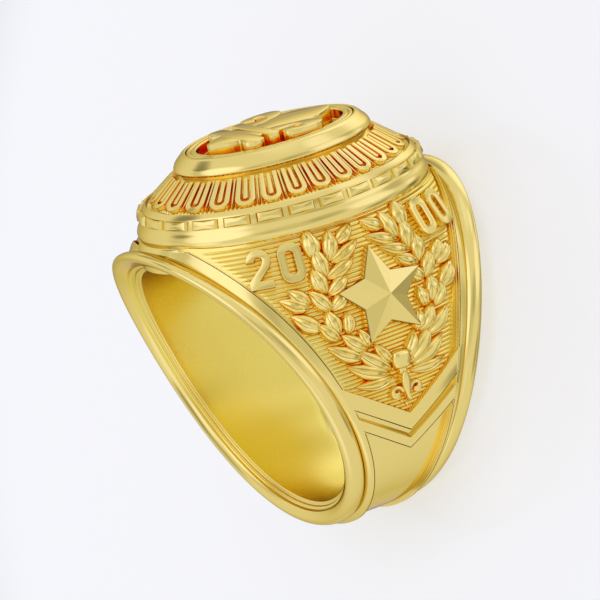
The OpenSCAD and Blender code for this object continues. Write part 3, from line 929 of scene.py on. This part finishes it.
def frieze():
    """Tongues with a bead inside and a dart between each two, raised over the fluted slope."""
    parts = []
    high = 2.5
    shell = stroke_mesh([arch_line(0.63, high, 0.06) + arch_line(0.31, high, 0.4)[::-1]], 0.8,
                        0.04)
    bead = stroke_mesh([arch_line(0.15, 2.42, 0.64)], 0.8, 0.05)
    dart = stroke_mesh([[(-0.07, high), (-0.05, 0.7), (-0.01, 0.2), (0.01, 0.2), (0.05, 0.7),
                         (0.07, high)]], 0.7, 0.025)
    # Columns: the shape, its place in each pitch, and how far it stands out
    shapes = ((shell, 0.5, 0.45), (bead, 0.5, 0.42), (dart, 0, 0.36))
    for k in range(TONGUE_N):
        for (points, faces), place, top in shapes:
            out = points[:, 2] - points[:, 2].max() + top
            made = on_slope((k + place) / TONGUE_N, points[:, 0], points[:, 1], out)
            parts.append((made, faces))
    return parts


def signet_plate():
    """The seated plate: an outer seam, a narrow rail and a sunk ground."""
    # Columns: height over the finger's axis, reach along the crown, and the corner's rounding
    rows = [(14.95, 6.24, 0), (16.3, 6.24, 0.02), (16.37, 6.18, 0.03), (16.37, 5.98, 0.03),
            (16.31, 5.94, 0.02), (16.31, 5.9, 0.02), (16.37, 5.86, 0.03), (16.37, 5.58, 0.04),
            (16.3, 5.52, 0.04), (15.58, 5.48, 0.08), (15.55, 3.0, 0)]
    return oval_sweep(rounded([(z, CROWN_END - y, r) for z, y, r in rows], steps=3))


def smooth(line, steps=5):
    """A closed outline drawn as a smooth curve through its corners."""
    q = np.array(line, float)
    rows = []
    for k in range(len(q)):
        a, b, c, d = q[k - 1], q[k], q[(k + 1) % len(q)], q[(k + 2) % len(q)]
        for i in range(steps):
            t = i / steps
            rows.append(tuple(0.5 * (2 * b + (c - a) * t + (2 * a - 5 * b + 4 * c - d) * t**2
                                     + (3 * b - a - 3 * c + d) * t**3)))
    return rows


def lily():
    """The emblem: a lily of three petals with a band, standing in the sunk ground."""
    # Its outlines are shares of its size
    size = 9.4
    petal = [(0, 0.53), (0.1, 0.43), (0.17, 0.29), (0.16, 0.15), (0.11, 0.02), (0.1, -0.07),
             (0.0, -0.08)]
    petal += [(-x, y) for x, y in petal[-2:0:-1]]
    curl = [(0.08, -0.09), (0.13, 0.08), (0.2, 0.22), (0.28, 0.28), (0.355, 0.23), (0.375, 0.09),
            (0.34, -0.03), (0.27, -0.05), (0.235, 0.02), (0.285, 0.07), (0.26, 0.13), (0.21, 0.08),
            (0.2, -0.09)]
    foot = [(0.0, -0.14), (0.15, -0.14), (0.2, -0.2), (0.29, -0.22), (0.31, -0.31),
            (0.24, -0.37), (0.14, -0.33), (0.1, -0.42), (0.0, -0.53)]
    foot += [(-x, y) for x, y in foot[-2:0:-1]]
    band_line = box_line(-0.27, -0.16, 0.27, -0.06, 0.03)
    # Columns: the outline, and how much further it stands out
    shapes = [(smooth(petal), 0.0), (smooth(curl), 0.0),
              (smooth([(-x, y) for x, y in curl[::-1]]), 0.0), (smooth(foot), 0.0),
              (band_line, 0.05)]
    depth = 1.5
    over_crown = 0.46
    parts = []
    for line, further in shapes:
        points, faces = stroke_mesh([[(x * size, y * size) for x, y in line]], depth, 0.08)
        points[:, 2] += CROWN_Z + CROWN_H + over_crown - depth / 2 + further
        parts.append((points, faces))
    return parts


def satin_bore_painted_bounce(thing):
    """Give the finger hole's wall, and the two steps beside it, a satin finish of their own, and a
    more saturated gold painted on for the colour that many reflections give there.
    """
    thing.data.materials.append(BORE)
    axis = Vector((0, math.sin(LEAN), -math.cos(LEAN)))
    steps_out = 0.6
    level = 0.6
    for band_face in thing.data.polygons:
        away = band_face.center - band_face.center.dot(axis) * axis
        inward = abs(band_face.normal.dot(axis)) < level
        if inward and away.length * 1000 < BORE_R + steps_out:
            band_face.material_index = 1


def shade_star_outline(thing):
    """Paint the narrow bevel round a star dark, as a fine outline of painted shade."""
    thing.data.materials.append(OUTLINE_SHADE)
    for bevel_face in thing.data.polygons[STAR_CORNERS:3 * STAR_CORNERS]:
        bevel_face.material_index = 1


def as_drawn(part):
    """The part on the shoulder that it is drawn on."""
    return part


satin_bore_painted_bounce(piece("ring_band", [band()], RIMS))
piece("ring_shoulders", [shoulders()], POLISHED)
for number, turned in enumerate((as_drawn, mirrored)):
    piece(f"panel_ground_{number}", [turned(panel_ground())], RIBBED)
    piece(f"wreath_{number}", [turned(part) for part in leaves() + wreath_foot()], CAST)
    shade_star_outline(piece(f"star_{number}", [turned(star())], POLISHED, sharp=5))
    piece(f"numerals_{number}", [turned(part) for part in numerals()], POLISHED, sharp=20)
piece("crown_wall", [crown_wall(), collar()], POLISHED)
piece("crown_bricks", crown_bricks(), POLISHED)
piece("crown_frieze", frieze(), FRIEZE, sharp=20)
piece("crown_flutes", [flutes()], FRIEZE)
piece("signet_plate", [signet_plate()], PLATE, node="emblem_plate")
piece("signet_emblem", lily(), PLATE, sharp=20, node="emblem_plate")


# Floor, light and camera
def floor():
    """A pale plate that glows by itself, with a painted pool of brighter glow round the ring."""
    mesh = bpy.data.meshes.new("floor")
    half = 3.0
    z = FLOOR_Z / 1000
    mesh.from_pydata([(-half, -half, z), (half, -half, z), (half, half, z), (-half, half, z)],
                     [], [(0, 1, 2, 3)])
    thing = bpy.data.objects.new("floor", mesh)
    bpy.context.scene.collection.objects.link(thing)
    material = bpy.data.materials.new("pale_floor")
    material.use_nodes = True
    nodes = material.node_tree.nodes
    links = material.node_tree.links
    shader = nodes["Principled BSDF"]
    shader.inputs["Base Color"].default_value = (0.42, 0.42, 0.41, 1)
    shader.inputs["Roughness"].default_value = 0.22
    shader.inputs["Specular IOR Level"].default_value = 0.35
    shader.inputs["Emission Color"].default_value = (1, 1, 0.99, 1)
    # The pool's middle, the radii between which its painted glow falls off, and the glow there
    middle = (-0.008, 0.008, z)
    bright_to = 0.05
    dim_from = 0.072
    bright = 0.545
    dim = 0.27
    where = nodes.new("ShaderNodeTexCoord")
    away = nodes.new("ShaderNodeVectorMath")
    away.operation = "DISTANCE"
    away.inputs[1].default_value = middle
    links.new(where.outputs["Object"], away.inputs[0])
    glow = nodes.new("ShaderNodeMapRange")
    glow.interpolation_type = "SMOOTHSTEP"
    glow.inputs["From Min"].default_value = bright_to
    glow.inputs["From Max"].default_value = dim_from
    glow.inputs["To Min"].default_value = bright
    glow.inputs["To Max"].default_value = dim
    links.new(away.outputs["Value"], glow.inputs["Value"])
    # The floor's own emission paints the pool of light
    links.new(glow.outputs["Result"], shader.inputs["Emission Strength"])
    mesh.materials.append(material)
    # The gold mirrors the studio alone, whose lower half stands in for the floor
    thing.visible_glossy = False


# The camera fitted to the photograph, in the upright ring's frame: its right and up, the
# direction back to it, its distance and offsets in millimetres, and the image's width and the
# focal length in pixels
RIGHT = np.array([0.52823, 0.82699, -0.19250])
UP = np.array([-0.12277, 0.29872, 0.94641])
BACK = np.array([0.84018, -0.47629, 0.25932])
DISTANCE = 326.57
OFFSET = (1.0727, -3.9805)
IMAGE = 600
FOCAL = 4733.2


def camera():
    """The camera at the photograph's angle to the ring, laid on its side with it."""
    data = bpy.data.cameras.new("camera")
    data.sensor_width = 36
    data.lens = FOCAL / IMAGE * data.sensor_width
    data.clip_start = 0.01
    thing = bpy.data.objects.new("camera", data)
    bpy.context.scene.collection.objects.link(thing)
    place = BACK * DISTANCE - RIGHT * OFFSET[0] - UP * OFFSET[1]
    x, y, z = (laid(v[None, :])[0] * 1000 for v in (RIGHT, UP, BACK))
    c = laid(place[None, :])[0]
    thing.matrix_world = Matrix([[x[i], y[i], z[i], c[i]] for i in range(3)] + [[0, 0, 0, 1]])
    bpy.context.scene.camera = thing


# The studio round the ring: bright and dim zones with soft edges over an even level. Columns:
# bearing, height, half width of the middle, half width to the outer edge, all in degrees, and
# how much brighter or darker the zone is.
EVEN = 0.78
WARM_BELOW = 0.72
COOL_FROM = 1.02
COOL_WHITE = (1, 1.03, 1.4, 1)
ZONES = [(50, 72, 20, 32, 0.36), (132, 52, 4, 16, -0.53), (-124, 51, 4, 13, -0.31),
         (-106, 40, 4, 13, -0.41), (14, 16, 12, 30, -0.14), (16, 36, 4, 14, -0.12),
         (32, -4, 4, 18, -0.24), (134, 0, 5, 18, -0.41), (86, 8, 6, 18, 0.12),
         (-80, 18, 10, 32, 0.17), (165, 72, 8, 20, -0.14), (-18, 12, 10, 26, 0.06),
         (126, -27, 14, 32, 0.46), (48, -30, 10, 22, 0.24), (76, -14, 4, 12, 0.22),
         (88, -58, 3, 9, 0.24), (-150, -34, 6, 24, 0.22), (30, -84, 8, 20, -0.36),
         (93, -72, 6, 14, -0.3), (78, -38, 3, 12, -0.24), (-6, -56, 3, 14, -0.41),
         (30, -57, 3, 12, -0.22), (-70, 57, 6, 18, 0.24), (-175, -33, 7, 20, -0.48)]


def world():
    """An even studio with bright and dim zones. Its brighter parts are a little cooler."""
    studio = bpy.data.worlds.new("studio")
    studio.use_nodes = True
    nodes = studio.node_tree.nodes
    links = studio.node_tree.links
    where = nodes.new("ShaderNodeTexCoord")
    level = nodes.new("ShaderNodeValue")
    level.outputs[0].default_value = EVEN
    total = level.outputs[0]
    for bearing, height, inner, outer, amount in ZONES:
        a = math.radians(bearing)
        h = math.radians(height)
        dot = nodes.new("ShaderNodeVectorMath")
        dot.operation = "DOT_PRODUCT"
        dot.inputs[1].default_value = (math.cos(h) * math.cos(a), math.cos(h) * math.sin(a),
                                       math.sin(h))
        links.new(where.outputs["Generated"], dot.inputs[0])
        zone = nodes.new("ShaderNodeMapRange")
        zone.interpolation_type = "SMOOTHSTEP"
        zone.inputs["From Min"].default_value = math.cos(math.radians(outer))
        zone.inputs["From Max"].default_value = math.cos(math.radians(inner))
        zone.inputs["To Max"].default_value = amount
        links.new(dot.outputs["Value"], zone.inputs["Value"])
        add = nodes.new("ShaderNodeMath")
        links.new(total, add.inputs[0])
        links.new(zone.outputs["Result"], add.inputs[1])
        total = add.outputs[0]
    links.new(total, nodes["Background"].inputs["Strength"])
    cool = nodes.new("ShaderNodeMapRange")
    cool.inputs["From Min"].default_value = WARM_BELOW
    cool.inputs["From Max"].default_value = COOL_FROM
    links.new(total, cool.inputs["Value"])
    white = nodes.new("ShaderNodeMix")
    white.data_type = "RGBA"
    white.inputs["A"].default_value = (1, 1, 1, 1)
    white.inputs["B"].default_value = COOL_WHITE
    links.new(cool.outputs["Result"], white.inputs["Factor"])
    links.new(white.outputs["Result"], nodes["Background"].inputs["Color"])
    bpy.context.scene.world = studio


floor()
camera()
world()
bpy.context.scene.view_settings.view_transform = "Standard"
# Deep recesses and the finger hole take their colour from many reflections
bpy.context.scene.cycles.max_bounces = 16
bpy.context.scene.cycles.glossy_bounces = 14
